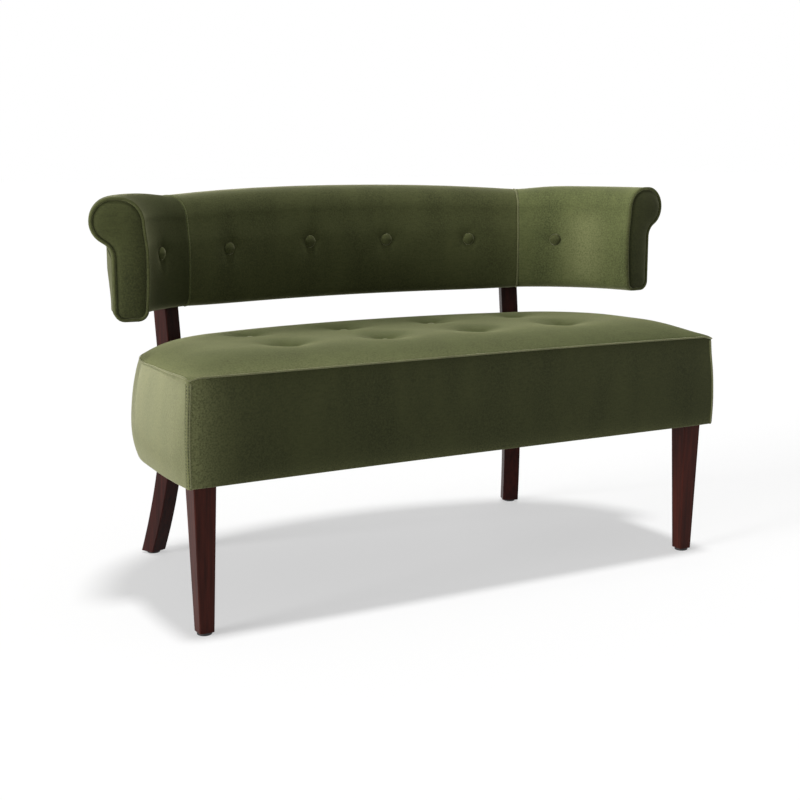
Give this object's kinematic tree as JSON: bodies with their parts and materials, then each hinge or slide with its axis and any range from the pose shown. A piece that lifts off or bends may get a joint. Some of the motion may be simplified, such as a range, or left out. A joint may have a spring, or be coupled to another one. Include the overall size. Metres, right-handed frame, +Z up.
{
  "type": "settee",
  "caption": "Low-backed settee with a button-tufted velvet seat, a curved back that runs into rolled wing arms, and dark wooden legs.",
  "frame": {"origin": "on the floor, under the middle of the settee's box", "axes": "+X along the width, to the right seen from the front; +Y from the seat's front to the back; +Z up"},
  "size_m": [1.288, 0.6274, 0.7504],
  "materials": {
    "velvet": "olive green cotton velvet with a short pile",
    "dark_wood": "dark stained hardwood, satin",
    "frame_wood": "plain sawn beech, not seen",
    "foam": "upholstery foam, not seen",
    "webbing": "jute webbing, not seen",
    "dust_cloth": "thin black lining under the seat",
    "steel": "plain zinc-plated steel",
    "glide": "dark moulded glide"
  },
  "bodies": {
    "root": {"seat_top_cover": "velvet", "seat_front_panel": "velvet", "seat_side_panel_left": "velvet", "seat_side_panel_right": "velvet", "seat_rear_panel": "velvet", "inside_back_cover": "velvet", "inside_wing_cover_left": "velvet", "inside_wing_cover_right": "velvet", "outside_back_cover": "velvet", "outside_wing_cover_left": "velvet", "outside_wing_cover_right": "velvet", "arm_facing_left": "velvet", "arm_facing_right": "velvet", "arm_piping_left": "velvet", "arm_piping_right": "velvet", "seat_buttons": "velvet", "back_buttons": "velvet", "front_leg_left": "dark_wood", "front_leg_right": "dark_wood", "rear_post_left": "dark_wood", "rear_post_right": "dark_wood", "seat_front_rail": "frame_wood", "seat_rear_rail": "frame_wood", "seat_side_rail_left": "frame_wood", "seat_side_rail_right": "frame_wood", "seat_stretcher": "frame_wood", "seat_corner_blocks": "frame_wood", "back_bottom_rail": "frame_wood", "back_top_rail": "frame_wood", "back_inner_board": "frame_wood", "wing_bottom_rail_left": "frame_wood", "wing_bottom_rail_right": "frame_wood", "wing_top_rail_left": "frame_wood", "wing_top_rail_right": "frame_wood", "wing_inner_board_left": "frame_wood", "wing_inner_board_right": "frame_wood", "arm_front_board_left": "frame_wood", "arm_front_board_right": "frame_wood", "seat_border_padding": "foam", "seat_foam": "foam", "back_foam": "foam", "wing_foam_left": "foam", "wing_foam_right": "foam", "seat_webbing_front_to_rear": "webbing", "seat_webbing_side_to_side": "webbing", "seat_dust_cover": "dust_cloth", "leg_hanger_bolts": "steel", "leg_nuts": "steel", "post_seat_bolts": "steel", "post_back_bolts": "steel", "glide_nails": "steel", "glide_discs": "glide"}
  },
  "joints": []
}
